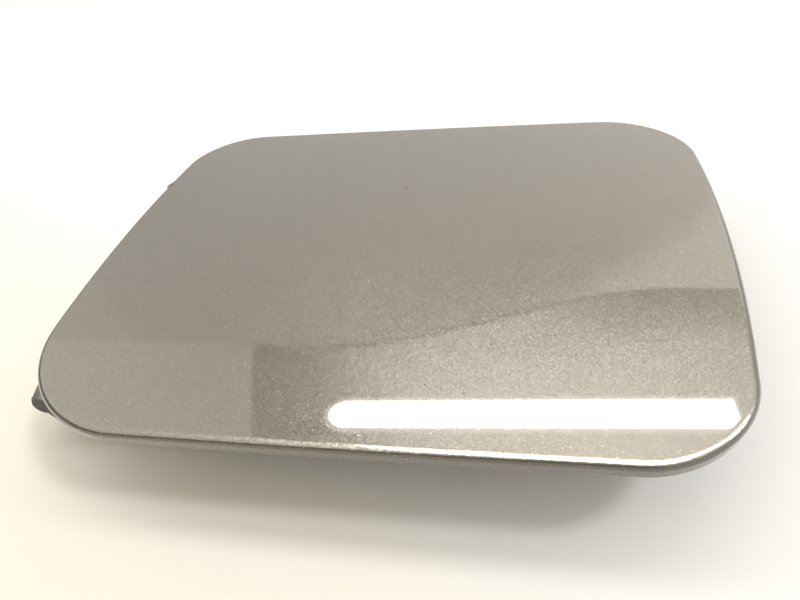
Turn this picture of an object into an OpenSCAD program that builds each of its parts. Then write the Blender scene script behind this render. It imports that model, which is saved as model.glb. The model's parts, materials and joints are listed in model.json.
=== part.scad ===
// Car fuel door: a painted skin hemmed over a pressed pan, carried by a gooseneck hinge.
// X runs across the car's side from the hinge to the latch, Y up the car, Z out of the car.
// The origin is the middle of the bracket's bolts, on its mounting face. Sizes are in millimetres.

/* [Door outline] */
// Length of the door, from the hinge side to the latch side
door_w = 190; // [175:1:205]
// Height of the door, up the car
door_h = 158.5; // [150:0.5:172]
// How far the upper side is set towards the latch
lean = 2; // [0:0.5:5]
// How much longer the upper side is than the lower side
upper_gain = 1.6; // [0:0.2:4]
// How much the upper side falls from the hinge corner to the latch corner
top_fall = 2.2; // [0:0.2:5]
// Outward bow of the lower side
bow_lower = 0.8; // [0:0.1:3]
// Outward bow of the latch side
bow_latch = 6.1; // [2:0.1:9]
// Outward bow of the upper side
bow_upper = 1; // [0:0.1:3]
// Outward bow of the hinge side
bow_hinge = 4.3; // [1:0.1:6]
// Length of the round at the lower hinge corner
round_lower_hinge = 36.5; // [30:0.5:42]
// Length of the round at the lower latch corner
round_lower_latch = 24; // [18:0.5:32]
// Length of the round at the upper latch corner
round_upper_latch = 29; // [24:0.5:38]
// Length of the round at the upper hinge corner
round_upper_hinge = 24.5; // [18:0.5:32]
// Radius of the door's crown, up the car
crown_r = 1700; // [1000:50:2500]

/* [Skin] */
// Thickness of the skin's sheet
skin_t = 0.9; // [0.7:0.1:1.1]
// Radius of the rolled edge
roll_r = 1.9; // [1.6:0.1:2.4]
// Depth of the folded edge
edge_h = 5; // [4.6:0.1:6]
// How far the flange leans in below the roll
flange_tuck = 0.4; // [0.2:0.1:0.8]
// Width of the hem under the pan's rim
hem_w = 6; // [4:0.5:8]

/* [Pan] */
// Thickness of the pan's sheet
pan_t = 0.9; // [0.7:0.1:1.2]
// Width of the pan's rim
rim_w = 11.5; // [10:0.5:14]
// Depth from the door's face to the pan's floor
pan_depth = 7.1; // [6.5:0.1:8]
// Radius of the pan's drain holes
drain_r = 5; // [3:0.5:6]
// Width of the pan's stiffening swages
swage_w = 7; // [5:0.5:9]
// Height of the pan's stiffening swages
swage_h = 1.6; // [1:0.1:2]

/* [Hinge] */
// Height of the door's face over the mounting face
face_z = 37; // [36:0.5:40]
// How far the door's hinge side reaches past the bracket's bolts
door_past = 11; // [9:0.5:13]
// How far the hinge axis lies outboard of the bolts
hinge_out = 18; // [17:0.5:20]
// Height of the hinge axis over the mounting face
hinge_z = 17; // [16:0.5:18]
// Radius of the hinge pin
pin_r = 2; // [1.8:0.1:2.5]
// Outer radius of the arms' knuckles
knuckle_r = 5.5; // [5:0.1:6]
// Width of one gooseneck arm
arm_w = 8; // [6:0.5:9]
// Radius of the gooseneck's bend, at the middle of the arm
neck_r = 15.75; // [15:0.25:16.5]
// Thickness of the arm round the bend
neck_t = 5; // [4:0.5:6]
// Thickness of the plate that joins the arms
arm_plate_t = 3; // [2.5:0.5:4]
// How far the door opens, in degrees
open_angle = 95; // [80:1:100]

/* [Bracket] */
// Thickness of the bracket's base
base_t = 4; // [3.5:0.5:5]
// Distance between the bolts across the hinge
bolt_dx = 26; // [24:1:28]
// Distance between the bolts along the hinge
bolt_dy = 60; // [50:1:64]
// Radius of the bore in the bolt sleeves
sleeve_bore_r = 3.3; // [2.7:0.1:3.5]
// Outer radius of the bolt sleeves
sleeve_r = 4.6; // [4.4:0.1:5]
// Thickness of the bracket's ears
ear_t = 5; // [4:0.5:6]
// Outer radius of the ears round the pin
ear_r = 6; // [5.5:0.1:6.5]
// Distance from the door's middle line to an ear's outer face
ear_y = 49; // [45:0.5:52]

/* [Spring] */
// Radius of the spring's wire
wire_r = 0.75; // [0.6:0.05:0.9]
// Mean radius of the spring's coil
coil_r = 4.75; // [4.6:0.05:5]
// Whole turns of the spring
coil_turns = 5; // [3:1:7]

/* [Striker] */
// Distance from the door's latch side to the striker
striker_in = 21; // [19:1:27]
// Width of the striker's tongue
striker_w = 18; // [14:1:22]
// Thickness of the striker's tongue
striker_t = 7; // [6:0.5:9]
// Width of the window for the lock's bolt
window_w = 9; // [6:0.5:12]
// Height of the window for the lock's bolt
window_h = 10; // [6:0.5:12]

/* [Cap holder] */
// Distance from the door's latch side to the middle of the cap holder
holder_in = 81; // [76:1:86]
// Inner radius of the cap holder's cradle
holder_r = 23; // [20:0.5:25]
// Depth of the cap holder's wall
holder_h = 13; // [10:0.5:15]
// Thickness of the cap holder's walls
holder_t = 2; // [1.6:0.2:3]

/* [Rubber] */
// Radius of a bump stop's head
stop_r = 6; // [5:0.5:7]
// Distance from the door's sides to the bump stops
stop_in = 27; // [25:0.5:30]
// Depth of a bump stop below the pan
stop_h = 8; // [6:0.5:10]
// Radius of the buffer that stops the open door
buffer_r = 2.2; // [1.8:0.1:2.4]

/* [Hidden] */
$fn = 48;
crown_fn = 720;

paint = "#8b867c";
black_plastic = "#26262a";
black_rubber = "#1c1c1c";
zinc_steel = "#b9bcc0";
grey_foam = "#4a4a4c";

// Clearances: a seat inside one body, and a turning or pushed-in fit
seat = 0.3;
fit = 0.05;

// The door's outline, corner by corner from the lower hinge corner round to the upper hinge corner
corner_at = [
    [-door_w / 2, -door_h / 2],
    [door_w / 2, -door_h / 2],
    [door_w / 2 + lean + upper_gain / 2, (door_h - top_fall) / 2],
    [-door_w / 2 + lean - upper_gain / 2, (door_h + top_fall) / 2]
];
corner_round = [round_lower_hinge, round_lower_latch, round_upper_latch, round_upper_hinge];
side_bow = [bow_lower, bow_latch, bow_upper, bow_hinge];
bezier_k = 0.5523;

function unit(v) = v / norm(v);
function corner(i) = corner_at[(i + 4) % 4];
function rounding(i) = corner_round[(i + 4) % 4];
function bow(i) = side_bow[(i + 4) % 4];
function side_vec(i) = corner(i + 1) - corner(i);
function side_out(i) = let(v = unit(side_vec(i))) [v[1], -v[0]];
function side_pt(i, s) = corner(i) + side_vec(i) * s + side_out(i) * bow(i) * 4 * s * (1 - s);
function side_dir(i, s) = unit(side_vec(i) + side_out(i) * bow(i) * 4 * (1 - 2 * s));
function side_from(i) = rounding(i) / norm(side_vec(i));
function side_to(i) = 1 - rounding(i + 1) / norm(side_vec(i));
function bezier(a, b, c, d, t) =
    a * pow(1 - t, 3) + b * 3 * t * pow(1 - t, 2) + c * 3 * t * t * (1 - t) + d * pow(t, 3);
function corner_pt(i, t) =
    let(
        a = side_pt(i - 1, side_to(i - 1)),
        d = side_pt(i, side_from(i)),
        reach = bezier_k * rounding(i)
    )
    bezier(a, a + side_dir(i - 1, side_to(i - 1)) * reach, d - side_dir(i, side_from(i)) * reach, d, t);
// n points on each corner and n on each side
function outline(n) = [
    for (i = [0:3])
        each concat(
            [for (j = [0:n - 1]) corner_pt(i, j / n)],
            [for (j = [0:n - 1]) side_pt(i, side_from(i) + (side_to(i) - side_from(i)) * j / n)]
        )
];
function inward(pts, i) =
    let(n = len(pts), v = unit(pts[(i + 1) % n] - pts[(i + n - 1) % n])) [-v[1], v[0]];
function inset(pts, d) = [for (i = [0:len(pts) - 1]) pts[i] + inward(pts, i) * d];

// The door's middle, and its sides away from it
door_x = door_w / 2 - door_past;
latch_x = door_x + door_w / 2;
top_y = door_h / 2;

// Height of a surface that lies drop below the crowned face, at y
function crowned(y, drop) = face_z - crown_r + sqrt(pow(crown_r - drop, 2) - y * y);

// The skin's section from the top of the roll, round the hem and back, as inset and drop
roll_steps = 5;
roll_in = roll_r - skin_t;
hem_round = 0.7;
skin_section = concat(
    [for (j = [0:roll_steps]) let(a = 90 * j / roll_steps) [roll_r * (1 - sin(a)), roll_r * (1 - cos(a))]],
    [
        [flange_tuck, edge_h - hem_round],
        [flange_tuck + hem_round * 0.3, edge_h - hem_round * 0.3],
        [flange_tuck + hem_round, edge_h],
        [hem_w, edge_h],
        [hem_w, edge_h - skin_t],
        [flange_tuck + skin_t, edge_h - skin_t]
    ],
    [
        for (j = [roll_steps:-1:0])
            let(a = 90 * j / roll_steps)
                [skin_t + roll_in * (1 - sin(a)), skin_t + roll_in * (1 - cos(a))]
    ]
);
face_rings = [0.25, 0.5, 0.75, 0.92];
skin_n = 10;

// Pan: its rim follows the crown under the skin, its floor is flat
pan_z = face_z - pan_depth - pan_t;
pan_top = pan_z + pan_t;
rim_drop = skin_t + seat;
rim_start = flange_tuck + skin_t + seat + 0.2;
pan_edge = rim_start + rim_w;
rim_wall_drop = edge_h - skin_t - seat;

// Hinge
hinge_x = -hinge_out;
neck_a = 15;
neck_x = hinge_x + neck_r * cos(neck_a);
neck_z = hinge_z + neck_r * sin(neck_a);
leg_x = neck_x + neck_r;
neck_steps = 33;
bush_wall = 0.9;
bush_r = pin_r + fit + bush_wall;
bush_short = 1.2;
bush_len = arm_w - bush_short;
bush_flange_t = 0.8;
bush_flange_r = 5;
thrust_gap = 0.2;
// The near knuckle narrows outwards and ends in a closed cap
knuckle_end_r = 3.9;
cap_t = 0.8;
cap_r = 3.3;
arm_y = ear_y + thrust_gap + bush_flange_t;
arm_end_y = arm_y + arm_w;
bush_end_y = arm_y + bush_len;
arm_plate_z = pan_z - arm_plate_t;
arm_plate_x0 = leg_x - 9;
arm_plate_x1 = leg_x + 25;
web_t = 4;
web_z = 13;
arm_screw_x = [leg_x + 8, leg_x + 19];
arm_screw_y = 32;
rib_count = 5;
pocket_depth = 2.4;
pocket_wall = 1.4;

// Stop finger on the far knuckle, and the buffer that it meets when the door is open
finger_a = 140;
finger_len = 9.5;
finger_t = 3;
open_a = finger_a + open_angle;
buffer_reach = finger_t / 2 + seat + buffer_r;
buffer_at = [
    hinge_x + (finger_len - 1.2) * cos(open_a) - buffer_reach * sin(open_a),
    hinge_z + (finger_len - 1.2) * sin(open_a) + buffer_reach * cos(open_a)
];

// Bracket
base_x0 = -26;
base_x1 = 20;
base_r = 4;
rib_t = 2;
rib_h = 2;
rib_y = 16;
sleeve_dx = bolt_dx / 2;
sleeve_dy = bolt_dy / 2;

// Pin, with its head past the far arm and its clip inside the far ear
head_t = 1.7;
head_r = 3.8;
head_y = arm_end_y + seat;
clip_t = 0.9;
clip_y = ear_y - ear_t - seat - clip_t;
clip_over = 2;
groove_depth = 0.5;

// Spring
coil_pitch = 2 * wire_r + 0.25;
leg_end_x = leg_x - 3.5;
leg_end_z = arm_plate_z - seat - wire_r;
spring_y0 = -8;
sleeve_over = 8;
wire_sides = 8;
turn_steps = 14;
exit_a = 90 + atan2(leg_end_z - hinge_z - coil_r, leg_end_x - hinge_x);
coil_sweep = 180 - exit_a + 360 * coil_turns;
coil_steps = round(turn_steps * coil_sweep / 360);
spring_y1 = spring_y0 + coil_pitch * coil_sweep / 360;
coil_start = [
    [hinge_x - coil_r, spring_y0, base_t + seat + 0.1],
    [hinge_x - coil_r, spring_y0, (base_t + hinge_z) / 2]
];
coil_path = [
    for (i = [0:coil_steps])
        let(a = 180 - coil_sweep * i / coil_steps)
            [
                hinge_x + coil_r * cos(a),
                spring_y0 + (spring_y1 - spring_y0) * i / coil_steps,
                hinge_z + coil_r * sin(a)
            ]
];
coil_end = [[leg_end_x, spring_y1, leg_end_z]];
spring_path = concat(coil_start, coil_path, coil_end);

// Screws and nuts
m5_r = 2.4;
m5_hole = 2.75;
m4_r = 1.9;
m4_hole = 2.2;
m5_flats = 8;
m5_head_h = 4;
m5_flange_r = 5;
m4_flats = 7;
m4_head_h = 3.4;
m4_flange_r = 4.2;
nut5_h = 4;
nut4_h = 3.2;
screw_tip = 1;

// Striker and cap holder
striker_at = latch_x - striker_in;
striker_flange_t = 3;
striker_flange_x = 20;
striker_flange_y = 46;
striker_screw_y = 17.5;
striker_top = pan_z - striker_flange_t;
striker_tip = 2;
window_z = 5;
holder_at = latch_x - holder_in;
holder_y = -4;
holder_plate_t = 2.5;
holder_lip = 3;
holder_plate_w = 2 * (holder_r + holder_t) + 8;
holder_plate_y0 = holder_y - holder_r - holder_t - 7;
holder_plate_y1 = holder_y + 8;
rivet_r = 2;
rivet_head_r = 3.8;
rivet_head_h = 1.6;
rivet_spread = 0.8;
rivet_tip = 2;
rivet_at = [
    [holder_at - holder_plate_w / 2 + 6, holder_plate_y0 + 6],
    [holder_at + holder_plate_w / 2 - 6, holder_plate_y0 + 6]
];

// Bump stops near the door's corners, drain holes, foam pads and swages
arm_side_x = arm_plate_x1 + 20;
stop_at = [
    [latch_x - stop_in, stop_in - top_y],
    [latch_x - stop_in + 2, top_y - stop_in + 2],
    [arm_side_x, stop_in - top_y - 5],
    [arm_side_x, top_y - stop_in + 6]
];
stop_stem_r = 3;
drain_in = 26;
drain_at = [
    [latch_x - 49, drain_in - top_y],
    [latch_x - 49, top_y - drain_in],
    [latch_x - 99, top_y - drain_in],
    [latch_x - 41, 0]
];
pad_size = [30, 12];
pad_at = [
    [arm_side_x + 4, 0],
    [latch_x - 49, 28],
    [latch_x - 79, -8],
    [latch_x - 89, 36]
];
swage_x0 = arm_plate_x1 + 10;
swage_x1 = striker_at - striker_flange_x / 2 - 8;
swage_y = [-40, 14];

// Placing: across(y0, y1) turns a shape drawn in X and Z so that it spans y0 to y1
module across(y0, y1) {
    translate([0, y1, 0])
        rotate([90, 0, 0])
            linear_extrude(y1 - y0)
                children();
}

// A round bar along Y about a point in X and Z
module bar_y(r, x, z, y0, y1) {
    translate([x, y1, z])
        rotate([90, 0, 0])
            cylinder(r = r, h = y1 - y0);
}

// Part of a ring about a point in X and Z, with its section between r0 and r1
module ring_y(r0, r1, x, z, y0, y1, a0, sweep) {
    translate([x, y1, z])
        rotate([90, 0, 0])
            rotate([0, 0, a0])
                rotate_extrude(angle = sweep)
                    translate([r0, 0])
                        square([r1 - r0, y1 - y0]);
}

function round_rect(x0, x1, y0, y1, r) = [
    for (q = [0:3], j = [0:5])
        let(
            a = 180 + 90 * q + 18 * j,
            cx = (q == 0 || q == 3) ? x0 + r : x1 - r,
            cy = (q < 2) ? y0 + r : y1 - r
        )
        [cx + r * cos(a), cy + r * sin(a)]
];

// The space below a surface that lies drop under the crowned face
module under_crown(drop) {
    translate([door_x - door_w, 0, face_z - crown_r])
        rotate([0, 90, 0])
            cylinder(r = crown_r - drop, h = 2 * door_w, $fn = crown_fn);
}

// The door's outline, moved in by d, as a flat shape
module door_shape(d) {
    translate([door_x, 0])
        polygon(inset(outline(6), d));
}

function ring_at(pts, section) =
    let(moved = inset(pts, section[0]))
    [for (p = moved) [door_x + p[0], p[1], crowned(p[1], section[1])]];

function scaled_ring(pts, d, drop, s) =
    let(moved = inset(pts, d))
    [for (p = moved) [door_x + p[0] * s, p[1] * s, crowned(p[1] * s, drop)]];

module outer_skin() {
    pts = outline(skin_n);
    n = len(pts);
    rings = concat(
        [for (s = face_rings) scaled_ring(pts, roll_r, 0, s)],
        [for (c = skin_section) ring_at(pts, c)],
        [for (j = [len(face_rings) - 1:-1:0]) scaled_ring(pts, roll_r, skin_t, face_rings[j])]
    );
    m = len(rings);
    points = concat(
        [[door_x, 0, crowned(0, 0)]],
        [for (r = rings) each r],
        [[door_x, 0, crowned(0, skin_t)]]
    );
    last = m * n + 1;
    faces = concat(
        [for (i = [0:n - 1]) [0, 1 + (i + 1) % n, 1 + i]],
        [
            for (k = [0:m - 2], i = [0:n - 1], h = [0, 1])
                let(
                    a = 1 + k * n + i,
                    b = 1 + k * n + (i + 1) % n,
                    c = a + n,
                    d = b + n
                )
                (h == 0) ? [a, b, c] : [b, d, c]
        ],
        [for (i = [0:n - 1]) [last, last - n + i, last - n + (i + 1) % n]]
    );
    color(paint)
        polyhedron(points = points, faces = faces, convexity = 6);
}

// A swage's outline about y, moved in by d
module swage_shape(y, d) {
    polygon(round_rect(
        swage_x0 + d, swage_x1 - d, y - swage_w / 2 + d, y + swage_w / 2 - d, swage_w / 2 - d - 0.01
    ));
}

module inner_panel() {
    color(paint)
        difference() {
            union() {
                // Rim, as thick as the sheet, under the skin
                difference() {
                    intersection() {
                        translate([0, 0, pan_z])
                            linear_extrude(face_z - pan_z)
                                difference() {
                                    door_shape(rim_start);
                                    door_shape(pan_edge);
                                }
                        under_crown(rim_drop);
                    }
                    under_crown(rim_drop + pan_t);
                }
                // Turned edge of the rim, down to the hem
                difference() {
                    intersection() {
                        translate([0, 0, pan_z - 2])
                            linear_extrude(face_z - pan_z)
                                difference() {
                                    door_shape(rim_start);
                                    door_shape(rim_start + pan_t);
                                }
                        under_crown(rim_drop);
                    }
                    under_crown(rim_wall_drop);
                }
                // Wall between the rim and the floor
                intersection() {
                    translate([0, 0, pan_z])
                        linear_extrude(face_z - pan_z)
                            difference() {
                                door_shape(pan_edge - pan_t);
                                door_shape(pan_edge);
                            }
                    under_crown(rim_drop);
                }
                // Floor
                translate([0, 0, pan_z])
                    linear_extrude(pan_t)
                        door_shape(pan_edge - pan_t);
                // Swages, pressed up towards the skin
                for (y = swage_y)
                    translate([0, 0, pan_z])
                        linear_extrude(pan_t + swage_h)
                            swage_shape(y, 0);
            }
            for (y = swage_y)
                translate([0, 0, pan_z - 1])
                    linear_extrude(swage_h + 1)
                        swage_shape(y, pan_t);
            for (p = drain_at)
                translate([p[0], p[1], pan_z - 1])
                    cylinder(r = drain_r, h = pan_t + 2);
            for (p = stop_at)
                translate([p[0], p[1], pan_z - 1])
                    cylinder(r = stop_stem_r + fit, h = pan_t + 2);
            for (x = arm_screw_x, y = [-arm_screw_y, arm_screw_y])
                translate([x, y, pan_z - 1])
                    cylinder(r = m5_hole, h = pan_t + 2);
            for (y = [-striker_screw_y, striker_screw_y])
                translate([striker_at, y, pan_z - 1])
                    cylinder(r = m4_hole, h = pan_t + 2);
            for (p = rivet_at)
                translate([p[0], p[1], pan_z - 1])
                    cylinder(r = rivet_r + fit, h = pan_t + 2);
        }
}

module flutter_pads() {
    color(grey_foam)
        for (p = pad_at)
            translate([p[0] - pad_size[0] / 2, p[1] - pad_size[1] / 2, pan_top])
                cube([
                    pad_size[0], pad_size[1],
                    crowned(abs(p[1]) + pad_size[1] / 2, skin_t + seat) - pan_top
                ]);
}

// A hexagon nut with a plain bore
module nut(across_flats, bore, h) {
    difference() {
        cylinder(r = across_flats / 2 / cos(30), h = h, $fn = 6);
        translate([0, 0, -1])
            cylinder(r = bore, h = h + 2);
    }
}

module weld_nuts() {
    color(zinc_steel)
        for (x = arm_screw_x, y = [-arm_screw_y, arm_screw_y])
            translate([x, y, pan_top])
                nut(m5_flats, m5_r + fit, nut5_h);
}

// A flanged screw that points up, with the underside of its flange at z = 0
module flanged_screw(r, length, head_af, head_h, flange_r) {
    cylinder(r = r, h = length);
    translate([0, 0, -1])
        cylinder(r = flange_r, h = 1);
    translate([0, 0, -head_h])
        cylinder(r = head_af / 2 / cos(30), h = head_h - 0.5, $fn = 6);
}

module arm_screws() {
    color(zinc_steel)
        for (x = arm_screw_x, y = [-arm_screw_y, arm_screw_y])
            translate([x, y, arm_plate_z])
                flanged_screw(
                    m5_r, arm_plate_t + pan_t + nut5_h + screw_tip, m5_flats, m5_head_h, m5_flange_r
                );
}

// Points round the neck's bend at radius r, from step i to step j
function neck_arc(r, i, j) = [
    for (k = [i:(j > i ? 1 : -1):j])
        let(a = 180 + neck_a + (180 - neck_a) * k / neck_steps)
            [neck_x + r * cos(a), neck_z + r * sin(a)]
];

// The bend of one gooseneck arm between y0 and y1, with ribbed pockets in both faces
module gooseneck(y0, y1) {
    pocket_sweep = (360 - 180 - neck_a - 28) / rib_count;
    difference() {
        across(y0, y1)
            polygon(concat(
                neck_arc(neck_r + neck_t / 2, 0, neck_steps),
                [[leg_x + neck_t / 2, arm_plate_z + 1], [leg_x - neck_t / 2, arm_plate_z + 1]],
                neck_arc(neck_r - neck_t / 2, neck_steps, 0)
            ));
        for (j = [0:rib_count - 1], y = [y0 - 1, y1 - pocket_depth])
            ring_y(
                neck_r - neck_t / 2 + pocket_wall, neck_r + neck_t / 2 - pocket_wall, neck_x, neck_z,
                y, y + pocket_depth + 1, 180 + neck_a + 24 + pocket_sweep * j, pocket_sweep - 5
            );
    }
}

// The near knuckle, with its closed end
module near_knuckle() {
    translate([hinge_x, -arm_y, hinge_z])
        rotate([90, 0, 0])
            rotate_extrude()
                polygon([
                    [0, 0],
                    [knuckle_r, 0],
                    [knuckle_end_r, arm_w],
                    [cap_r, arm_w + cap_t],
                    [0, arm_w + cap_t]
                ]);
}

module hinge_arm() {
    color(black_plastic)
        difference() {
            union() {
                gooseneck(-arm_end_y, -arm_y);
                gooseneck(arm_y, arm_end_y);
                near_knuckle();
                bar_y(knuckle_r, hinge_x, hinge_z, arm_y, arm_end_y);
                // Plate under the pan
                translate([0, 0, arm_plate_z])
                    linear_extrude(arm_plate_t)
                        polygon(round_rect(arm_plate_x0, arm_plate_x1, -arm_end_y, arm_end_y, 4));
                // Wall that ties the two arms
                translate([leg_x - web_t / 2, -arm_y, web_z])
                    cube([web_t, 2 * arm_y, arm_plate_z - web_z + 1]);
                // Gussets between the wall and the plate
                for (y = [-40, -14, 11, 37])
                    across(y, y + 3)
                        polygon([
                            [leg_x + 1, arm_plate_z + 1],
                            [leg_x + 1, web_z + 3],
                            [leg_x + web_t / 2, web_z + 3],
                            [leg_x + 14, arm_plate_z],
                            [leg_x + 14, arm_plate_z + 1]
                        ]);
                // Stop finger on the far knuckle
                translate([hinge_x, arm_y, hinge_z])
                    rotate([0, -finger_a, 0])
                        translate([bush_r + 1, 0, -finger_t / 2])
                            cube([finger_len - bush_r - 1, arm_w, finger_t]);
            }
            bar_y(bush_r + fit, hinge_x, hinge_z, -bush_end_y - seat, -arm_y + 1);
            bar_y(bush_r + fit, hinge_x, hinge_z, arm_y - 1, arm_end_y + 1);
            for (x = arm_screw_x, y = [-arm_screw_y, arm_screw_y])
                translate([x, y, arm_plate_z - 1])
                    cylinder(r = m5_hole, h = arm_plate_t + 2);
        }
}

// A flanged bush along +Y from y = 0, with its flange on the ear's side
module bush() {
    rotate([-90, 0, 0])
        rotate_extrude()
            polygon([
                [pin_r + fit, -bush_flange_t],
                [bush_flange_r, -bush_flange_t],
                [bush_flange_r, 0],
                [bush_r, 0],
                [bush_r, bush_len],
                [pin_r + fit, bush_len]
            ]);
}

module bush_near() {
    color("#d8d4c8")
        translate([hinge_x, -arm_y, hinge_z])
            mirror([0, 1, 0])
                bush();
}

module bush_far() {
    color("#d8d4c8")
        translate([hinge_x, arm_y, hinge_z])
            bush();
}

module ear(y0, y1) {
    bar_y(ear_r, hinge_x, hinge_z, y0, y1);
    across(y0, y1)
        polygon([
            [hinge_x - 7.5, base_t - 1],
            [hinge_x + 17, base_t - 1],
            [hinge_x + 5, hinge_z],
            [hinge_x - 5, hinge_z]
        ]);
}

module hinge_bracket() {
    cradle_x0 = buffer_at[0] - buffer_r + 0.3;
    cradle_x1 = buffer_at[0] + buffer_r + 0.6;
    color(black_plastic)
        difference() {
            union() {
                linear_extrude(base_t)
                    polygon(round_rect(base_x0, base_x1, -ear_y, ear_y, base_r));
                ear(-ear_y, -ear_y + ear_t);
                ear(ear_y - ear_t, ear_y);
                // Stiffening ribs along the base
                for (x = [base_x0, base_x1 - rib_t])
                    translate([x, -ear_y + base_r, base_t - 1])
                        cube([rib_t, 2 * (ear_y - base_r), rib_h + 1]);
                // Cross ribs
                for (y = [-rib_y - rib_t, rib_y])
                    translate([base_x0 + rib_t / 2, y, base_t - 1])
                        cube([base_x1 - base_x0 - rib_t, rib_t, rib_h + 1]);
                // Foot and cradle for the buffer
                translate([cradle_x0, ear_y - 2, 0])
                    cube([cradle_x1 - cradle_x0, arm_end_y - ear_y + 2, buffer_at[1] - 1.2]);
            }
            for (x = [-sleeve_dx, sleeve_dx], y = [-sleeve_dy, sleeve_dy])
                translate([x, y, -1])
                    cylinder(r = sleeve_r + fit, h = base_t + 2);
            bar_y(pin_r + fit, hinge_x, hinge_z, -ear_y - 1, ear_y + 1);
            bar_y(buffer_r + fit, buffer_at[0], buffer_at[1], ear_y, arm_end_y + 1);
        }
}

module bolt_sleeves() {
    color(zinc_steel)
        for (x = [-sleeve_dx, sleeve_dx], y = [-sleeve_dy, sleeve_dy])
            translate([x, y, 0])
                difference() {
                    cylinder(r = sleeve_r, h = base_t);
                    translate([0, 0, -1])
                        cylinder(r = sleeve_bore_r, h = base_t + 2);
                }
}

module hinge_pin() {
    color(zinc_steel)
        translate([hinge_x, 0, hinge_z])
            rotate([-90, 0, 0])
                rotate_extrude()
                    polygon([
                        [0, -bush_end_y],
                        [pin_r - 0.5, -bush_end_y],
                        [pin_r, -bush_end_y + 0.5],
                        [pin_r, clip_y],
                        [pin_r - groove_depth, clip_y],
                        [pin_r - groove_depth, clip_y + clip_t],
                        [pin_r, clip_y + clip_t],
                        [pin_r, head_y],
                        [head_r, head_y],
                        [head_r, head_y + head_t - 0.6],
                        [head_r - 0.6, head_y + head_t],
                        [0, head_y + head_t]
                    ]);
}

module pin_clip() {
    color(zinc_steel)
        difference() {
            bar_y(pin_r + clip_over, hinge_x, hinge_z, clip_y + fit, clip_y + clip_t - fit);
            bar_y(pin_r - groove_depth + fit, hinge_x, hinge_z, clip_y - 1, clip_y + clip_t + 1);
            translate([hinge_x - 1, clip_y - 1, hinge_z])
                cube([2, clip_t + 2, pin_r + clip_over + 1]);
        }
}

// A round wire along a path that never runs along Y
module wire(path, r, sides) {
    n = len(path);
    function way(i) = unit(path[min(i + 1, n - 1)] - path[max(i - 1, 0)]);
    points = [
        for (i = [0:n - 1])
            let(t = way(i), u = unit(cross(t, [0, 1, 0])), v = cross(t, u))
            for (k = [0:sides - 1])
                path[i] + r * (u * cos(360 * k / sides) + v * sin(360 * k / sides))
    ];
    faces = concat(
        [[for (k = [0:sides - 1]) k]],
        [
            for (i = [0:n - 2], k = [0:sides - 1])
                let(a = i * sides + k, b = i * sides + (k + 1) % sides)
                for (f = [[a, a + sides, b], [b, a + sides, b + sides]])
                    f
        ],
        [[for (k = [sides - 1:-1:0]) (n - 1) * sides + k]]
    );
    polyhedron(points = points, faces = faces, convexity = 8);
}

module torsion_spring() {
    color(zinc_steel)
        wire(spring_path, wire_r, wire_sides);
}

module spring_sleeve() {
    color("#d8d4c8")
        difference() {
            bar_y(coil_r - wire_r - 0.35, hinge_x, hinge_z, spring_y0 - sleeve_over, spring_y1 + sleeve_over);
            bar_y(
                pin_r + 2 * fit, hinge_x, hinge_z, spring_y0 - sleeve_over - 1, spring_y1 + sleeve_over + 1
            );
        }
}

module open_buffer() {
    color(black_rubber)
        bar_y(buffer_r, buffer_at[0], buffer_at[1], ear_y + fit, arm_end_y);
}

module latch_striker() {
    half_t = striker_t / 2;
    color(black_plastic)
        difference() {
            union() {
                translate([0, 0, striker_top])
                    linear_extrude(striker_flange_t)
                        polygon(round_rect(
                            striker_at - striker_flange_x / 2, striker_at + striker_flange_x / 2,
                            -striker_flange_y / 2, striker_flange_y / 2, 4
                        ));
                across(-striker_w / 2, striker_w / 2)
                    polygon([
                        [striker_at - half_t - 4, striker_top + 1],
                        [striker_at - half_t - 4, striker_top],
                        [striker_at - half_t, striker_top - 6],
                        [striker_at - half_t, striker_tip],
                        [striker_at - half_t + striker_tip, 0],
                        [striker_at + half_t - striker_tip, 0],
                        [striker_at + half_t, striker_tip],
                        [striker_at + half_t, striker_top - 6],
                        [striker_at + half_t + 4, striker_top],
                        [striker_at + half_t + 4, striker_top + 1]
                    ]);
            }
            translate([striker_at - striker_t, -window_w / 2, window_z])
                cube([2 * striker_t, window_w, window_h]);
            for (y = [-striker_screw_y, striker_screw_y])
                translate([striker_at, y, striker_top - 1])
                    cylinder(r = m4_hole, h = striker_flange_t + 2);
        }
}

module striker_screws() {
    color(zinc_steel)
        for (y = [-striker_screw_y, striker_screw_y])
            translate([striker_at, y, striker_top])
                flanged_screw(
                    m4_r, striker_flange_t + pan_t + nut4_h + screw_tip, m4_flats, m4_head_h, m4_flange_r
                );
}

module striker_nuts() {
    color(zinc_steel)
        for (y = [-striker_screw_y, striker_screw_y])
            translate([striker_at, y, pan_top])
                nut(m4_flats, m4_r + fit, nut4_h);
}

// A rubber stop pushed through the pan, with its head below
module bump_stop() {
    rotate_extrude()
        polygon([
            [0, -stop_h],
            [stop_r - 2.5, -stop_h],
            [stop_r - 1, -stop_h + 1],
            [stop_r, -stop_h + 3],
            [stop_r, 0],
            [stop_stem_r, 0],
            [stop_stem_r, pan_t],
            [stop_stem_r + 1, pan_t],
            [stop_stem_r, pan_t + 2.2],
            [0, pan_t + 2.2]
        ]);
}

module bump_stops() {
    color(black_rubber)
        for (p = stop_at)
            translate([p[0], p[1], pan_z])
                bump_stop();
}

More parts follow.
